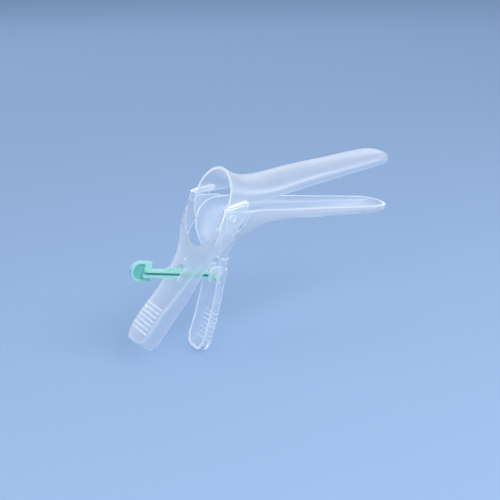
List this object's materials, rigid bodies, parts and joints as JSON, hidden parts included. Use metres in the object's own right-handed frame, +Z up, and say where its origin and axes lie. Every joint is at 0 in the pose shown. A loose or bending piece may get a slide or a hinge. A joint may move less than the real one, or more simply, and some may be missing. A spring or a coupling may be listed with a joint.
{
  "type": "vaginal speculum",
  "caption": "Clear plastic duck-bill speculum: two hinged blades flaring to an oval mouth, paired grip handles below and a green toothed lock strap with a paddle.",
  "frame": {"origin": "on the hinge axis, midway between the ears, in the middle of the mouth that instruments pass through", "axes": "+X forward along the middle line between the blades, -Y towards the side seen in the picture, +Z up, away from the handles"},
  "size_m": [0.1657, 0.0482, 0.1061],
  "materials": {
    "frosted_polymer": "satin clear polymer",
    "clear_polymer": "glossy clear polymer",
    "mint_polymer": "glossy opaque moulding"
  },
  "bodies": {
    "lower": {"lower_valve": "clear_polymer"},
    "upper": {"upper_valve": "frosted_polymer"},
    "lock": {"ratchet_lock": "mint_polymer"}
  },
  "joints": [
    {"name": "valve_hinge", "type": "hinge", "parent": "lower", "child": "upper", "pos_m": [0, 0, 0], "axis": [0, -1, 0], "range_deg": [-14, 16]},
    {"name": "lock_follow", "type": "hinge", "parent": "lower", "child": "lock", "pos_m": [-0.00181, 0, -0.03937], "axis": [0, -1, 0], "range_deg": [-10.5, 12]}
  ],
  "couplings": [
    {"joint": "lock_follow", "follows": "valve_hinge", "ratio": 0.72}
  ]
}
